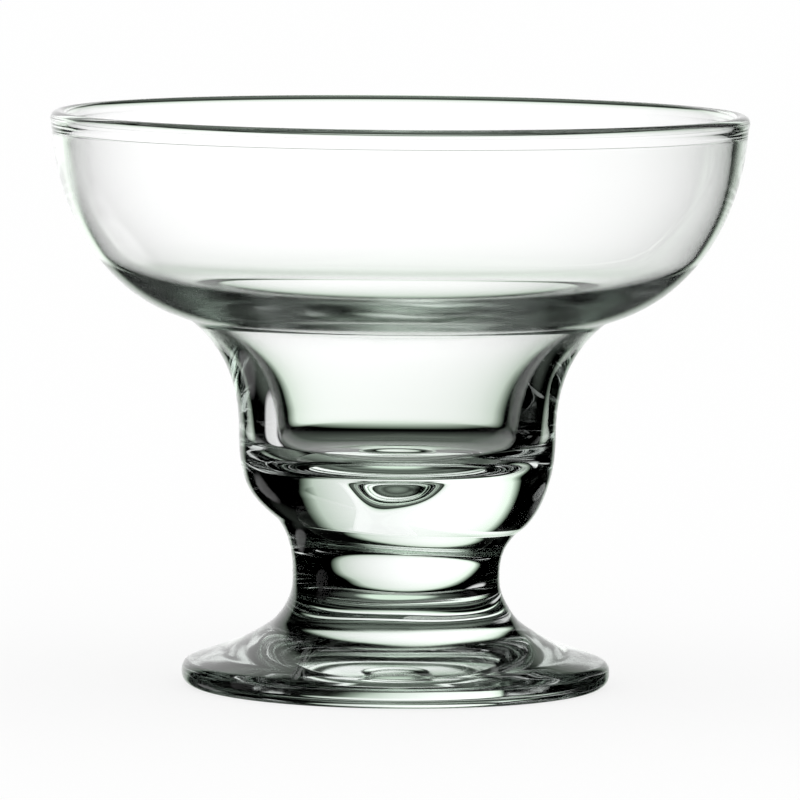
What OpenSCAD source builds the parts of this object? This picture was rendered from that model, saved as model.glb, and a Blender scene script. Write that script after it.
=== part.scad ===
// A footed parfait glass in clear soda-lime glass, millimetres, +Z up.
// The origin is the centre of the ring that it stands on.
// Three gathers of glass, joined hot: the pressed bowl with its well, the solid
// stem and the foot. Each is a section in the r-z plane, turned about the Z axis.

/* [Overall] */
// Height from the table to the top of the rim
glass_h = 90.5; // [82:0.5:105]
// Diameter over the rim
rim_d = 110; // [98:1:125]

/* [Rim] */
// Diameter of the round bead that fire polishing leaves along the rim
bead_d = 1.96; // [1.6:0.02:2.6]
// How far the bead stands out past the wall under it
bead_proud = 0.35; // [0.1:0.05:0.6]
// Straight neck between the bead and the curved side
neck_h = 1.1; // [0.5:0.1:3]
// Wall of the bowl at the neck
rim_wall = 2.1; // [1.5:0.05:2.6]
// Angle of the side at the neck, from level
rim_lean = 84.5; // [70:0.5:90]

/* [Bowl] */
// Diameter of the crease where the bowl meets the well
shoulder_d = 65.8; // [60:0.2:72]
// Height of that crease above the weld under the well
shoulder_rise = 32.4; // [28:0.2:36]
// Slope of the bowl's underside where it leaves the crease
bowl_slope = 15; // [5:1:30]
// Thickness of the side, half way between the crease and the neck
side_wall = 1.5; // [1.3:0.1:3]
// How much steeper the inside is there than the outside
side_turn = 2; // [0:0.5:6]
// Reach of the handle that leads from there to the floor of the bowl
side_reach = 0.41; // [0.3:0.01:0.5]
// Slope of the bowl's floor where it reaches the lip of the well
bowl_floor_slope = 23; // [15:1:30]
// Reach of the handle along that floor: the higher, the longer it stays straight
bowl_floor_reach = 0.33; // [0.2:0.01:0.45]

/* [Well] */
// Outside diameter where the well's side stands upright
well_d = 50; // [46:0.2:56]
// Height of that place above the weld
well_rise = 14.6; // [10:0.2:18]
// Slope of the outside where it reaches the crease
well_flare = 39; // [30:1:60]
// Slope of the round knop where it leaves the weld
knop_slope = 35; // [20:1:60]
// Diameter of the well's mouth, inside, over the crest of its rounded lip
mouth_d = 60; // [57:0.2:62]
// Height of that crest above the crease outside
mouth_lift = 1.9; // [1.4:0.1:4]
// Radius of the rounded lip
lip_r = 2.2; // [1:0.1:4]
// Slope of the inside under the lip
mouth_slope = 45; // [38:1:60]
// Reach of the handle that leads down from the lip
mouth_reach = 0.59; // [0.3:0.01:0.62]
// Inside diameter above the floor of the well
cup_d = 37.6; // [32:0.2:40]
// Height of that place above the flat of the floor
cup_rise = 3.8; // [3:0.1:6]
// Slope of the inside there
cup_slope = 62; // [54:1:76]
// Reach of the handle above that place
cup_reach = 0.09; // [0.05:0.01:0.4]
// Diameter of the flat of the floor, where it bends up into the side
flat_d = 21.8; // [18:0.2:26]
// Diameter of the dimple in the middle of the floor
dimple_d = 14.6; // [8:0.2:17]
// Depth of that dimple
dimple_depth = 2.4; // [0.5:0.1:4]
// Reach of the handle in its middle: the higher, the flatter it is there
dimple_reach = 0.6; // [0.3:0.01:0.7]
// Thickness of glass between the flat of the floor and the weld
floor_wall = 9.1; // [6:0.1:12]

/* [Stem] */
// Diameter of the upper weld, between the well and the stem
upper_weld_d = 38; // [35:0.2:42]
// Slope of the stem's side where it reaches the upper weld
upper_weld_slope = 48; // [40:1:80]
// Diameter of the waist
waist_d = 32.7; // [28:0.1:34]
// Height of the waist above the lower weld
waist_rise = 7.4; // [5:0.1:10]
// Height of the stem, from weld to weld
stem_h = 15.4; // [12:0.1:20]
// Slope of the stem's side where it leaves the lower weld
lower_weld_slope = 135; // [110:1:150]

/* [Foot] */
// Diameter of the foot
foot_d = 67.6; // [62:0.2:80]
// Height of the lower weld above the table
foot_h = 10; // [8:0.1:14]
// Diameter of the lower weld, between the foot and the stem
lower_weld_d = 39.2; // [36:0.2:44]
// Slope of the foot's top at its edge, falling outwards
foot_slope = 21; // [10:1:35]
// Slope of the foot's top where it reaches the lower weld
foot_root_slope = 39; // [25:1:60]
// Radius under the foot's edge
edge_under_r = 1.9; // [1:0.1:2.5]
// Upright land between the two edge radii
edge_land = 0.6; // [0.2:0.1:1.5]
// Radius over the foot's edge
edge_over_r = 1.6; // [1:0.1:2.2]
// Width of the flat ring that the glass stands on
ring_w = 5.6; // [2:0.2:6]
// Height of the hollow under the foot, at its centre
kick_h = 2; // [1:0.1:4]
// Slope of the hollow where it meets the ring
kick_slope = 13; // [5:1:25]

/* [Hidden] */
// Reach of a curve's handles, as a share of its chord: a round, even bend
reach = 0.375;
// Straight steps in one curve
curve_steps = 24;
// Turn between two points of a round stretch
arc_step = 10;
$fn = 128;

lower_weld_r = lower_weld_d / 2;
upper_weld_r = upper_weld_d / 2;
upper_weld_h = foot_h + stem_h;
waist_at = [waist_d / 2, foot_h + waist_rise];

well_at = [well_d / 2, upper_weld_h + well_rise];
shoulder_at = [shoulder_d / 2, upper_weld_h + shoulder_rise];
bead_r = bead_d / 2;
bead_at = [rim_d / 2 - bead_r, glass_h - bead_r];
neck_at = [rim_d / 2 - bead_proud, glass_h - bead_d - neck_h];

lip_at = [mouth_d / 2, shoulder_at[1] + mouth_lift - lip_r];
floor_h = upper_weld_h + floor_wall;
dimple_at = [0, floor_h - dimple_depth];
flat_at = [flat_d / 2, floor_h];
cup_at = [cup_d / 2, floor_h + cup_rise];

under_at = [foot_d / 2 - edge_under_r, edge_under_r];
over_at = [foot_d / 2 - edge_over_r, edge_under_r + edge_land];
ring_inner_r = under_at[0] - ring_w;

// A unit step in the direction of angle a
function heading(a) = [cos(a), sin(a)];

// A smooth curve (a cubic) that leaves p at angle a and arrives at q at angle b.
// Like arc() below, it gives every point but its first.
function curve(p, a, q, b, leave = reach, arrive = reach) =
    let (
        c = p + leave * norm(q - p) * heading(a),
        d = q - arrive * norm(q - p) * heading(b)
    )
    [for (i = [1 : curve_steps])
        let (t = i / curve_steps, s = 1 - t)
        s * s * s * p + 3 * s * s * t * c + 3 * s * t * t * d + t * t * t * q];

// A round stretch about centre c, from angle a to angle b
function arc(c, r, a, b) =
    let (n = ceil(abs(b - a) / arc_step))
    [for (i = [1 : n]) c + r * heading(a + (b - a) * i / n)];

// The middle of such a curve with even handles, as a point and the angle there
function middle(p, a, q, b) =
    let (
        c = p + reach * norm(q - p) * heading(a),
        d = q - reach * norm(q - p) * heading(b),
        along = q + d - c - p
    )
    [(p + 3 * c + 3 * d + q) / 8, atan2(along[1], along[0])];

module turned(section) {
    rotate_extrude() polygon(section);
}

// The pressed bowl and well, inside surface first, then down the outside
module bowl() {
    inner_neck = neck_at - [rim_wall, 0];
    side = middle(shoulder_at, bowl_slope, neck_at, rim_lean);
    side_at = side[0] + side_wall * heading(side[1] + 90);
    side_rise = side[1] + side_turn;
    lip_in = lip_at + lip_r * heading(90 + bowl_floor_slope);
    lip_out = lip_at + lip_r * heading(90 + mouth_slope);
    color([0.84, 0.92, 0.88, 0.5])
        turned(concat(
            [[0, upper_weld_h], dimple_at],
            curve(dimple_at, 0, [dimple_d / 2, floor_h], 0, dimple_reach),
            [flat_at],
            curve(flat_at, 0, cup_at, cup_slope),
            curve(cup_at, cup_slope, lip_out, mouth_slope, cup_reach, mouth_reach),
            arc(lip_at, lip_r, 90 + mouth_slope, 90 + bowl_floor_slope),
            curve(lip_in, bowl_floor_slope, side_at, side_rise, bowl_floor_reach, side_reach),
            curve(side_at, side_rise, inner_neck, rim_lean),
            arc(bead_at, bead_r, 200, -40),
            [neck_at],
            curve(neck_at, rim_lean + 180, shoulder_at, bowl_slope + 180),
            curve(shoulder_at, well_flare + 180, well_at, 270),
            curve(well_at, 270, [upper_weld_r, upper_weld_h], knop_slope + 180)
        ));
}

// The solid stem, drawn in to a waist between its two welds
module stem() {
    color([0.80, 0.90, 0.85, 0.5])
        turned(concat(
            [[0, foot_h], [lower_weld_r, foot_h]],
            curve([lower_weld_r, foot_h], lower_weld_slope, waist_at, 90),
            curve(waist_at, 90, [upper_weld_r, upper_weld_h], upper_weld_slope),
            [[0, upper_weld_h]]
        ));
}

// The foot, with its rounded edge, its flat ring and the hollow inside the ring
module foot() {
    edge_top = over_at + edge_over_r * heading(90 - foot_slope);
    color([0.82, 0.91, 0.87, 0.5])
        turned(concat(
            [[0, foot_h], [0, kick_h]],
            curve([0, kick_h], 0, [ring_inner_r, 0], -kick_slope),
            [[under_at[0], 0]],
            arc(under_at, edge_under_r, -90, 0),
            [[foot_d / 2, over_at[1]]],
            arc(over_at, edge_over_r, 0, 90 - foot_slope),
            curve(edge_top, 180 - foot_slope, [lower_weld_r, foot_h], 180 - foot_root_slope)
        ));
}

bowl();
stem();
foot();
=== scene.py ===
"""Looks of the footed parfait glass: one seamless body of clear soda-lime glass on a
white page, lit as a glass photographer lights it, against a soft bright panel in a dim room.

Sizes are in millimetres and become metres in the mesh. The glass is a section in the
r-z plane, turned about the Z axis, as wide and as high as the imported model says.
"""

import math

import bpy
import numpy as np
from mathutils import Matrix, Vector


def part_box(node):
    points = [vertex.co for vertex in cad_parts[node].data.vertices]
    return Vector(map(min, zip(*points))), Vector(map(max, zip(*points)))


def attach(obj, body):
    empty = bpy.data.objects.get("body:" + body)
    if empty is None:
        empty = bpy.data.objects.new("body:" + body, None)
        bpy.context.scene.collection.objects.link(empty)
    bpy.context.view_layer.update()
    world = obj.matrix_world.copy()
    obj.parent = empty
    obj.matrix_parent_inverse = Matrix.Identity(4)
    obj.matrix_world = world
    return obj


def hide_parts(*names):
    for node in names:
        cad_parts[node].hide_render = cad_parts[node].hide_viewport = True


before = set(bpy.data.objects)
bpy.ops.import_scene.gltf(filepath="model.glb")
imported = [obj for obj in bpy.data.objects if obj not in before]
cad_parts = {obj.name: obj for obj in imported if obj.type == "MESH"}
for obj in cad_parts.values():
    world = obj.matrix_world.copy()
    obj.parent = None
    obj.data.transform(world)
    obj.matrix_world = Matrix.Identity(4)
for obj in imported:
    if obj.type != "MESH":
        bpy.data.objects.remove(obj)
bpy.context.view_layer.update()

MM = 0.001

# ---------------------------------------------------------------- the glass, its sizes

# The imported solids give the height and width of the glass, and where it was joined.
BOWL_TOP = np.array(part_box("bowl")[1]) / MM
STEM_BOTTOM, STEM_TOP = (np.array(corner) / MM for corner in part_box("stem"))
FOOT_TOP = np.array(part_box("foot")[1]) / MM

RIM_R, RIM_Z = BOWL_TOP[0], BOWL_TOP[2]
UPPER_WELD_R, UPPER_WELD_Z = 19.0, STEM_TOP[2]
LOWER_WELD_R, LOWER_WELD_Z = STEM_TOP[0], STEM_BOTTOM[2]
FOOT_R = FOOT_TOP[0]

# Points are (r, z). Slopes and leans are in degrees from level. A reach is the length of a
# curve's handle, as a share of its chord.
# The rim: a round bead, proud of a short straight neck
BEAD_R = 1.3
BEAD_PROUD = 0.35
NECK_H = 1.1
RIM_WALL = 2.3
RIM_LEAN = 84.5

# The bowl, from the crease where it meets the well. Its inside leans SIDE_TURN more than its
# outside, where the wall is SIDE_WALL thick.
SHOULDER_AT = (32.9, UPPER_WELD_Z + 32.4)
BOWL_SLOPE = 15.0
SIDE_WALL = 1.5
SIDE_TURN = 2.0
SIDE_REACH = 0.41
BOWL_FLOOR_SLOPE = 23.0
BOWL_FLOOR_REACH = 0.33

# The well: its outside, the round lip of its mouth, its drawn-in cup and its dimpled floor
WELL_AT = (25.0, UPPER_WELD_Z + 14.6)
WELL_FLARE = 39.0
KNOP_SLOPE = 35.0
LIP_R = 2.2
LIP_AT = (30.0, 57.5)
MOUTH_SLOPE = 45.0
MOUTH_REACH = 0.59
CUP_AT = (18.8, 38.3)
CUP_SLOPE = 62.0
CUP_REACH = 0.09
FLOOR_Z = 34.5
FLAT_R = 10.9
DIMPLE_R = 7.03
DIMPLE_DEPTH = 2.23
DIMPLE_REACH = 0.7
DIMPLE_EDGE_REACH = 0.28

# The stem and its waist
WAIST_AT = (16.35, LOWER_WELD_Z + 7.4)
UPPER_WELD_SLOPE = 48.0
LOWER_WELD_SLOPE = 135.0

# The foot: its rounded edge, the ring it stands on and the hollow inside that ring
EDGE_UNDER_R = 1.9
EDGE_LAND = 0.6
EDGE_OVER_R = 1.6
FOOT_SLOPE = 21.0
FOOT_ROOT_SLOPE = 39.0
RING_W = 5.6
KICK_H = 2.0
KICK_SLOPE = 13.0

# The reach of a handle that has none of its own, and the steps in one full turn
REACH = 0.375
TURN_STEPS = 256

# How far the upper weld tilts (degrees), and the height over which that fades
WELD_TILT = 3.3
WELD_FADE = 5.0
# Waves in the glass: how many go round, how they climb (radians a mm), where they start, and
# how far they reach (mm)
WAVES = (
    (2, 0.00, 0.4, 0.050),
    (3, 0.50, 2.1, 0.040),
    (2, 1.30, 4.4, 0.025),
    (5, -0.90, 1.2, 0.015),
)
# How the waves shift outwards (radians a mm), and the radius inside which they fade
WAVE_SPREAD = 0.23
WAVE_FULL_R = 10
# How strong they are on the bowl, and about HAND_AT, where hand tools shaped the glass
BOWL_WAVE = 0.02
HAND_WAVE = 1.7
HAND_AT = 12.0
HAND_REACH = 6.0

# Roughness of the chilled glass: on the bowl's floor, between these heights, and under the foot
BOWL_CHILL = 0.2
BOWL_CHILL_Z = (55, 57, 63, 68)
FOOT_CHILL = 0.12
# Slack in mm when a point is sorted by its place, and a length that counts as none
SLACK = 0.01
TINY = 1e-6


def heading(angle):
    """The unit step in the direction of angle, in degrees."""
    return np.array([math.cos(math.radians(angle)), math.sin(math.radians(angle))])


def handles(p, a, q, b, leave=REACH, arrive=REACH):
    """The four points of a cubic that leaves p at angle a and reaches q at angle b."""
    p, q = np.array(p, float), np.array(q, float)
    chord = np.linalg.norm(q - p)
    return p, p + leave * chord * heading(a), q - arrive * chord * heading(b), q


def curve(p, a, q, b, steps, leave=REACH, arrive=REACH):
    """That cubic in steps, without its first point: (1-t)^3 p + 3 (1-t)^2 t c
    + 3 (1-t) t^2 d + t^3 q, where c and d are the handles' ends."""
    p, c, d, q = handles(p, a, q, b, leave, arrive)
    t = np.linspace(0, 1, steps + 1)[1:, None]
    s = 1 - t
    return s**3 * p + 3 * s * s * t * c + 3 * s * t * t * d + t**3 * q


def middle(p, a, q, b):
    """The middle of such a curve, and its angle there."""
    p, c, d, q = handles(p, a, q, b)
    along = q + d - c - p
    return (p + 3 * c + 3 * d + q) / 8, math.degrees(math.atan2(along[1], along[0]))


def arc(centre, radius, a, b, steps):
    """A round stretch about centre from angle a to angle b, in degrees, without its first point."""
    turn = np.radians(np.linspace(a, b, steps + 1)[1:, None])
    return np.array(centre) + radius * np.hstack([np.cos(turn), np.sin(turn)])


def glass_section():
    """The closed section: up the outside from under the foot, over the rim, down the inside
    to the well's floor, then along the hollow under the foot. Rows of (r, z)."""
    bead_at = (RIM_R - BEAD_R, RIM_Z - BEAD_R)
    neck_at = np.array([RIM_R - BEAD_PROUD, RIM_Z - 2 * BEAD_R - NECK_H])
    inner_neck = neck_at - [RIM_WALL, 0]
    side, rise = middle(SHOULDER_AT, BOWL_SLOPE, neck_at, RIM_LEAN)
    side_at = side + SIDE_WALL * heading(rise + 90)
    side_in = rise + SIDE_TURN + 180
    lip_in = np.array(LIP_AT) + LIP_R * heading(90 + BOWL_FLOOR_SLOPE)
    lip_out = np.array(LIP_AT) + LIP_R * heading(90 + MOUTH_SLOPE)
    under_at = (FOOT_R - EDGE_UNDER_R, EDGE_UNDER_R)
    over_at = (FOOT_R - EDGE_OVER_R, EDGE_UNDER_R + EDGE_LAND)
    edge_top = over_at + EDGE_OVER_R * heading(90 - FOOT_SLOPE)
    lower_weld = (LOWER_WELD_R, LOWER_WELD_Z)
    upper_weld = (UPPER_WELD_R, UPPER_WELD_Z)
    ring_inner = (under_at[0] - RING_W, 0)
    dimple_at = (0, FLOOR_Z - DIMPLE_DEPTH)
    outside = [
        arc(under_at, EDGE_UNDER_R, -90, 0, 12),
        arc(over_at, EDGE_OVER_R, 0, 90 - FOOT_SLOPE, 10),
        curve(edge_top, 180 - FOOT_SLOPE, lower_weld, 180 - FOOT_ROOT_SLOPE, 22),
        curve(lower_weld, LOWER_WELD_SLOPE, WAIST_AT, 90, 18),
        curve(WAIST_AT, 90, upper_weld, UPPER_WELD_SLOPE, 18),
        curve(upper_weld, KNOP_SLOPE, WELL_AT, 90, 28),
        curve(WELL_AT, 90, SHOULDER_AT, WELL_FLARE, 28),
        curve(SHOULDER_AT, BOWL_SLOPE, neck_at, RIM_LEAN, 44),
    ]
    inside = [
        arc(bead_at, BEAD_R, -40, 200, 22),
        [inner_neck],
        curve(inner_neck, RIM_LEAN + 180, side_at, side_in, 26),
        curve(side_at, side_in, lip_in, BOWL_FLOOR_SLOPE + 180, 36, SIDE_REACH, BOWL_FLOOR_REACH),
        arc(LIP_AT, LIP_R, 90 + BOWL_FLOOR_SLOPE, 90 + MOUTH_SLOPE, 12),
        curve(lip_out, MOUTH_SLOPE + 180, CUP_AT, CUP_SLOPE + 180, 36, MOUTH_REACH, CUP_REACH),
        curve(CUP_AT, CUP_SLOPE + 180, (FLAT_R, FLOOR_Z), 180, 24),
        [(DIMPLE_R, FLOOR_Z)],
        curve((DIMPLE_R, FLOOR_Z), 180, dimple_at, 180, 24, DIMPLE_EDGE_REACH, DIMPLE_REACH),
    ]
    under = [curve((0, KICK_H), 0, ring_inner, -KICK_SLOPE, 20)]
    return np.vstack([[[under_at[0], 0]]] + outside + inside + [[[0, KICK_H]]] + under)


def uneven(turn, r, z):
    """How far hot-worked glass strays from its section, in mm: (out, up) for each point.

    out is a sum of waves cos(m a + n z + WAVE_SPREAD r + p), weak on the bowl and strongest
    where the stem runs out into the foot, which hand tools shaped. up tilts the upper weld by
    WELD_TILT, so that its kink sits lower at +X, and fades with the distance from it.
    """
    hand = np.exp(-(((z - HAND_AT) / HAND_REACH) ** 2))
    out = 0 * turn + 0 * r
    for m, n, p, size in WAVES:
        out = out + size * np.cos(m * turn + n * z + WAVE_SPREAD * r + p)
    near = np.exp(-(((z - UPPER_WELD_Z) / WELD_FADE) ** 2))
    out = out * (BOWL_WAVE + (HAND_WAVE - BOWL_WAVE) * hand) * np.clip(r / WAVE_FULL_R, 0, 1)
    up = -math.tan(math.radians(WELD_TILT)) * r * np.cos(turn) * near
    return out, up


def chilled(r, z):
    """How rough the glass is at (r, z): a little about the bowl's floor, where the plunger
    chilled it, and under the foot. Everything else was polished in the fire."""
    floor = np.interp(z, BOWL_CHILL_Z, [0, BOWL_CHILL, BOWL_CHILL, 0])
    inside_edge = r < FOOT_R - EDGE_UNDER_R + SLACK
    return floor + np.where((z < KICK_H + SLACK) & inside_edge, FOOT_CHILL, 0)


def turned_mesh(name, section):
    """section turned about Z: point (i, j) is (r_i cos a_j, r_i sin a_j, z_i), each moved by
    what uneven says, except on the ring it stands on and on the bead.

    Where r is 0 the ring shrinks to one point, which closes the pole with triangles. How rough
    each point is goes into the mesh as the attribute chill.
    """
    on_axis = section[:, 0] < TINY
    width = np.where(on_axis, 1, TURN_STEPS)
    first = np.concatenate([[0], np.cumsum(width)[:-1]])
    turn = np.linspace(0, 2 * math.pi, TURN_STEPS, endpoint=False)
    r, z = section[:, :1], section[:, 1:]
    out, up = uneven(turn, r, z)
    flat = (z < TINY) | (z > RIM_Z - 2 * BEAD_R)
    out, up = np.where(flat, 0, out), np.where(flat, 0, up)
    grid = np.stack([(r + out) * np.cos(turn), (r + out) * np.sin(turn), z + up], axis=2) * MM
    keep = np.ones(grid.shape[:2], bool)
    keep[on_axis, 1:] = False
    points = grid[keep]

    j = np.arange(TURN_STEPS)
    k = (j + 1) % TURN_STEPS
    faces = []
    for a, b in zip(range(len(section)), np.roll(range(len(section)), -1)):
        if on_axis[a] and on_axis[b]:
            continue
        if on_axis[a]:
            ring = np.stack([0 * j + first[a], first[b] + k, first[b] + j], axis=1)
        elif on_axis[b]:
            ring = np.stack([first[a] + j, first[a] + k, 0 * j + first[b]], axis=1)
        else:
            ring = np.stack([first[a] + j, first[a] + k, first[b] + k, first[b] + j], axis=1)
        faces += ring.tolist()
    mesh = bpy.data.meshes.new(name)
    mesh.from_pydata(points, [], faces)
    mesh.polygons.foreach_set("use_smooth", np.ones(len(mesh.polygons), bool))
    rough = mesh.attributes.new("chill", "FLOAT", "POINT")
    rough.data.foreach_set("value", (chilled(r, z) + 0 * turn)[keep])
    mesh.update()
    return mesh


# ---------------------------------------------------------------- the glass, its material

GLASS_IOR = 1.52
# What the depth of the glass does to light: its tint, and how strongly it takes the rest
GLASS_TINT = (0.80, 0.90, 0.84)
GLASS_DEPTH = 8.0
# The share of the straight-on reflection that is kept
GLASS_GLINT = 0.04
# Clouds to a metre in the chilled glass
CLOUD_SCALE = 300


def math_node(tree, operation, *values):
    """operation on values, each a number or a socket."""
    node = tree.nodes.new("ShaderNodeMath")
    node.operation = operation
    for socket, value in zip(node.inputs, values):
        if isinstance(value, (int, float)):
            socket.default_value = value
        else:
            tree.links.new(value, socket)
    return node.outputs[0]


def vector_node(tree, operation, *values):
    """operation on values, each a triple or a socket."""
    node = tree.nodes.new("ShaderNodeVectorMath")
    node.operation = operation
    for socket, value in zip(node.inputs, values):
        if isinstance(value, (tuple, list)):
            socket.default_value = value
        else:
            tree.links.new(value, socket)
    return node.outputs[0]


def glass_material():
    """Clear soda-lime glass: fire-polished, a little wavy, with the grey-green of its own iron."""
    material = bpy.data.materials.new("clear_glass")
    material.use_nodes = True
    tree = material.node_tree
    glass = tree.nodes["Principled BSDF"]
    glass.inputs["Base Color"].default_value = (1, 1, 1, 1)
    chill = tree.nodes.new("ShaderNodeAttribute")
    chill.attribute_name = "chill"
    clouds = tree.nodes.new("ShaderNodeTexNoise")
    clouds.inputs["Scale"].default_value = CLOUD_SCALE
    place = tree.nodes.new("ShaderNodeTexCoord").outputs["Object"]
    tree.links.new(place, clouds.inputs["Vector"])
    rough = math_node(tree, "MULTIPLY", chill.outputs["Fac"], clouds.outputs["Fac"])
    tree.links.new(rough, glass.inputs["Roughness"])
    glass.inputs["IOR"].default_value = GLASS_IOR
    glass.inputs["Transmission Weight"].default_value = 1.0
    glass.inputs["Specular Tint"].default_value = (GLASS_GLINT, GLASS_GLINT, GLASS_GLINT, 1)
    depth = tree.nodes.new("ShaderNodeVolumeAbsorption")
    depth.inputs["Color"].default_value = (*GLASS_TINT, 1)
    depth.inputs["Density"].default_value = GLASS_DEPTH
    tree.links.new(depth.outputs["Volume"], tree.nodes["Material Output"].inputs["Volume"])
    return material


def make_glass():
    mesh = turned_mesh("parfait_glass", glass_section())
    mesh.materials.append(glass_material())
    glass = bpy.data.objects.new("parfait_glass", mesh)
    bpy.context.scene.collection.objects.link(glass)
    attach(glass, "root")
    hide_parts("bowl", "stem", "foot")


# ---------------------------------------------------------------- floor, light and camera

FLOOR_SIZE = 12.0
# The share of the page that is lit from within
PAGE_SHARE = 0.8
# The studio that the glass sees, by direction, in degrees. Soft bright panels: the turn from
# straight behind the glass, the height of the centre, half the width, half the height, how
# square the panel is, how far it leans over, how soft its edge is, how much dimmer it is there
# than in its middle, and its level. The back panel lights the glass for the main camera; the
# left and low ones keep it bright from other sides, and the windows light the foot.
PANELS = {
    "back": (-7, 8.5, 33, 27.0, 2.6, -36, 0.08, 0.46, 1.13),
    "left": (-90, -3, 9, 9, 2.5, 0, 0.1, 0, 1.05),
    "low_left": (-46, -25, 9, 9, 2.5, 0, 0.2, 0, 0.8),
    "low_front": (135, -15.5, 9, 9, 2.5, 0, 0.1, 0, 0.85),
    "left_window": (-108, 11, 26, 9, 2.5, 0, 0.15, 0, 0.7),
    "right_window": (106, 11, 26, 9, 2.5, 0, 0.15, 0, 0.7),
}
# The power by which a panel gets dimmer towards its edge, and the share of that for each colour
PANEL_FALL = 3.3
FALL_TINT = (1.0, 0.75, 1.0)
# How much dimmer every panel gets with each degree from its left to its right
PANEL_DRIFT = 0.0085
# The dim room around them: (height, level) on the side of the back panel and elsewhere. That
# side reaches BACK_HALF each way, with an edge BACK_EDGE soft.
ROOM_TINT = (0.84, 1.0, 0.85)
BACK_HALF = 35
BACK_EDGE = 5
BACK_SIDE = (
    (-76, 0.9), (-66, 0.3), (-54, 0.08), (-46, 0.2), (-39, 0.1), (-33, 0.1), (-27, 0.0),
    (46, 0.0), (60, 1.0),
)
ROOM_SIDE = ((-76, 0.9), (-68, 0.1), (-54, 0.0))


def step_down(tree, value, edge, soft):
    """1 where value is under edge, 0 over it, with a straight ramp soft wide each way."""
    node = tree.nodes.new("ShaderNodeMapRange")
    tree.links.new(value, node.inputs["Value"])
    node.inputs["From Min"].default_value = edge - soft
    node.inputs["From Max"].default_value = edge + soft
    node.inputs["To Min"].default_value = 1
    node.inputs["To Max"].default_value = 0
    return node.outputs["Result"]


def level_ramp(tree, height, stops):
    """The level at each height: straight between the stops, even beyond the outer ones."""
    ramp = tree.nodes.new("ShaderNodeValToRGB")
    tree.links.new(math_node(tree, "MULTIPLY_ADD", height, 1 / 180, 0.5), ramp.inputs["Fac"])
    marks = ramp.color_ramp.elements
    while len(marks) < len(stops):
        marks.new(1.0)
    for mark, (at, level) in zip(marks, stops):
        mark.position = at / 180 + 0.5
    for mark, (at, level) in zip(marks, stops):
        mark.color = (level * ROOM_TINT[0], level * ROOM_TINT[1], level * ROOM_TINT[2], 1)
    return ramp.outputs["Color"]


def share(tree, away, off, across, upright, half, square):
    """|(away across + off upright) / half|^square"""
    along = math_node(tree, "MULTIPLY_ADD", away, across, math_node(tree, "MULTIPLY", off, upright))
    along = math_node(tree, "ABSOLUTE", math_node(tree, "DIVIDE", along, half))
    return math_node(tree, "POWER", along, square)


def panel_light(tree, turn, height, panel):
    """Light inside |u/half_wide|^square + |v/half_high|^square = 1, nothing outside, where u
    and v are the way to the panel's centre, measured along axes that lean over."""
    centre, rise, half_wide, half_high, square, lean, soft, fall, level = panel
    away = math_node(tree, "WRAP", math_node(tree, "SUBTRACT", turn, centre), 180, -180)
    off = math_node(tree, "SUBTRACT", height, rise)
    c, s = heading(lean)
    u = share(tree, away, off, c, s, half_wide, square)
    v = share(tree, away, off, -s, c, half_high, square)
    reach = math_node(tree, "POWER", math_node(tree, "ADD", u, v), 1 / square)
    dimmer = vector_node(tree, "MULTIPLY", math_node(tree, "POWER", reach, PANEL_FALL), FALL_TINT)
    light = vector_node(tree, "MULTIPLY_ADD", dimmer, [-fall * level] * 3, [level] * 3)
    drift = math_node(tree, "MULTIPLY_ADD", away, -PANEL_DRIFT, 1.0)
    inside = math_node(tree, "MULTIPLY", drift, step_down(tree, reach, 1.0, soft))
    return vector_node(tree, "MULTIPLY", light, inside)


def light_room():
    """The world. The camera sees a white page, and matt surfaces a plain white room. Glass
    sees the studio: soft bright panels, a soft box high up behind it, the table, and the dim
    room."""
    world = bpy.data.worlds.new("studio")
    bpy.context.scene.world = world
    world.use_nodes = True
    world.cycles.sampling_method = "NONE"
    tree = world.node_tree
    tree.nodes.clear()
    direction = tree.nodes.new("ShaderNodeTexCoord").outputs["Generated"]
    parts = tree.nodes.new("ShaderNodeSeparateXYZ")
    tree.links.new(direction, parts.inputs[0])
    x, y, z = parts.outputs
    turn = math_node(tree, "MULTIPLY", math_node(tree, "ARCTAN2", x, y), 180 / math.pi)
    height = math_node(tree, "MULTIPLY", math_node(tree, "ARCSINE", z), 180 / math.pi)
    aside = math_node(tree, "ABSOLUTE", math_node(tree, "SUBTRACT", turn, PANELS["back"][0]))
    side = tree.nodes.new("ShaderNodeMixRGB")
    tree.links.new(step_down(tree, aside, BACK_HALF, BACK_EDGE), side.inputs["Fac"])
    tree.links.new(level_ramp(tree, height, ROOM_SIDE), side.inputs["Color1"])
    tree.links.new(level_ramp(tree, height, BACK_SIDE), side.inputs["Color2"])
    studio = side.outputs[0]
    for panel in PANELS.values():
        studio = vector_node(tree, "MAXIMUM", studio, panel_light(tree, turn, height, panel))
    rays = tree.nodes.new("ShaderNodeLightPath").outputs
    through = math_node(tree, "MAXIMUM", rays["Is Glossy Ray"], rays["Is Transmission Ray"])
    glass_sees = tree.nodes.new("ShaderNodeBackground")
    tree.links.new(studio, glass_sees.inputs["Color"])
    page = tree.nodes.new("ShaderNodeBackground")
    page.inputs["Color"].default_value = (1, 1, 1, 1)
    seen = tree.nodes.new("ShaderNodeMixShader")
    tree.links.new(through, seen.inputs[0])
    tree.links.new(page.outputs[0], seen.inputs[1])
    tree.links.new(glass_sees.outputs[0], seen.inputs[2])
    out = tree.nodes.new("ShaderNodeOutputWorld")
    tree.links.new(seen.outputs[0], out.inputs["Surface"])


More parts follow.
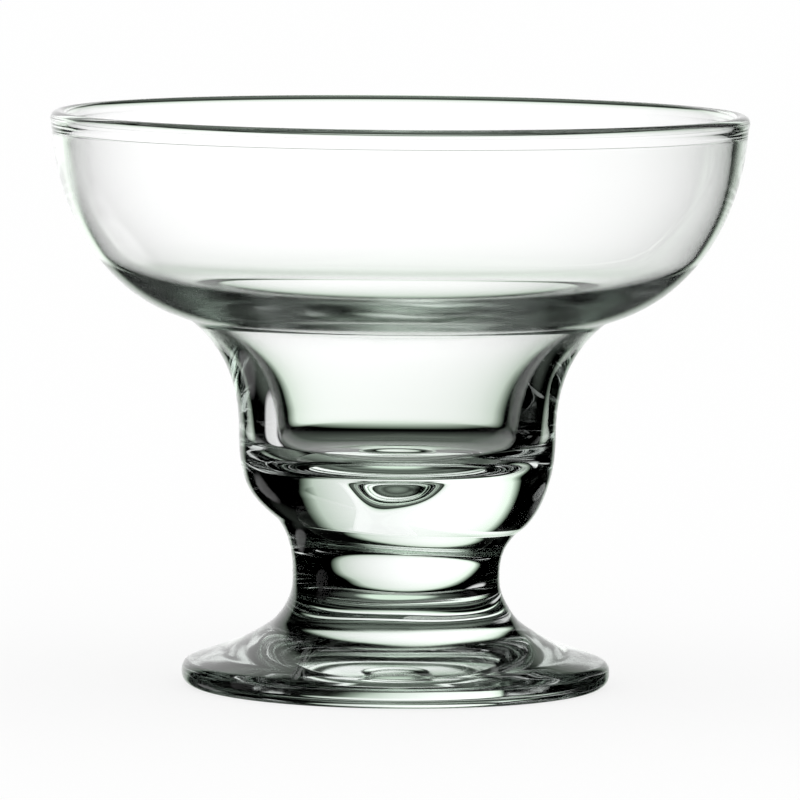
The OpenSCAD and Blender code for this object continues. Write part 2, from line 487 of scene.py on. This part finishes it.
def floor_material():
    """A white page: matt, so that it keeps the shadow, and partly lit from within for the
    camera. Rays that come through the glass pass it, and see the room."""
    material = bpy.data.materials.new("white_page")
    material.use_nodes = True
    tree = material.node_tree
    tree.nodes.clear()
    matt = tree.nodes.new("ShaderNodeBsdfDiffuse")
    matt.inputs["Color"].default_value = (0.98, 0.98, 0.98, 1)
    lit = tree.nodes.new("ShaderNodeEmission")
    lit.inputs["Color"].default_value = (1, 1, 1, 1)
    clear = tree.nodes.new("ShaderNodeBsdfTransparent")
    rays = tree.nodes.new("ShaderNodeLightPath").outputs
    through = math_node(tree, "MAXIMUM", rays["Is Glossy Ray"], rays["Is Transmission Ray"])
    page = tree.nodes.new("ShaderNodeMixShader")
    tree.links.new(math_node(tree, "MULTIPLY", rays["Is Camera Ray"], PAGE_SHARE), page.inputs[0])
    tree.links.new(matt.outputs[0], page.inputs[1])
    tree.links.new(lit.outputs[0], page.inputs[2])
    seen = tree.nodes.new("ShaderNodeMixShader")
    tree.links.new(through, seen.inputs[0])
    tree.links.new(page.outputs[0], seen.inputs[1])
    tree.links.new(clear.outputs[0], seen.inputs[2])
    out = tree.nodes.new("ShaderNodeOutputMaterial")
    tree.links.new(seen.outputs[0], out.inputs["Surface"])
    return material


def make_floor():
    half = FLOOR_SIZE / 2
    mesh = bpy.data.meshes.new("floor")
    corners = [(-half, -half, 0), (half, -half, 0), (half, half, 0), (-half, half, 0)]
    mesh.from_pydata(corners, [], [(0, 1, 2, 3)])
    mesh.materials.append(floor_material())
    floor = bpy.data.objects.new("floor", mesh)
    bpy.context.scene.collection.objects.link(floor)


# The camera, in metres and degrees, its lens in mm, and where the photograph shows its aim
CAMERA_BACK = 1.310
CAMERA_HEIGHT = 0.157
AIM_HEIGHT = 0.045
CAMERA_ROLL = 0.5
CAMERA_LENS = 375.5
SENSOR_MM = 36
PHOTO_SIZE = 800
AXIS_AT_PX = (397.7, 400.4)


def make_camera():
    """The photograph's angle: AIM_HEIGHT on the axis shows at AXIS_AT_PX of its frame."""
    data = bpy.data.cameras.new("camera")
    data.sensor_width = SENSOR_MM
    data.lens = CAMERA_LENS
    data.shift_x = (PHOTO_SIZE / 2 - AXIS_AT_PX[0]) / PHOTO_SIZE
    data.shift_y = (AXIS_AT_PX[1] - PHOTO_SIZE / 2) / PHOTO_SIZE
    data.clip_end = 50
    camera = bpy.data.objects.new("camera", data)
    camera.location = (0, -CAMERA_BACK, CAMERA_HEIGHT)
    pitch = math.atan((CAMERA_HEIGHT - AIM_HEIGHT) / CAMERA_BACK)
    camera.rotation_mode = "XYZ"
    tilt = Matrix.Rotation(math.pi / 2 - pitch, 3, "X")
    roll = Matrix.Rotation(math.radians(CAMERA_ROLL), 3, "Z")
    camera.rotation_euler = (tilt @ roll).to_euler()
    bpy.context.scene.collection.objects.link(camera)
    bpy.context.scene.camera = camera


# Light that bounces fewer times leaves thick glass black
GLASS_BOUNCES = 24

make_glass()
make_floor()
light_room()
make_camera()

scene = bpy.context.scene
scene.view_settings.view_transform = "Standard"
scene.cycles.max_bounces = GLASS_BOUNCES
scene.cycles.transmission_bounces = GLASS_BOUNCES
scene.cycles.glossy_bounces = GLASS_BOUNCES
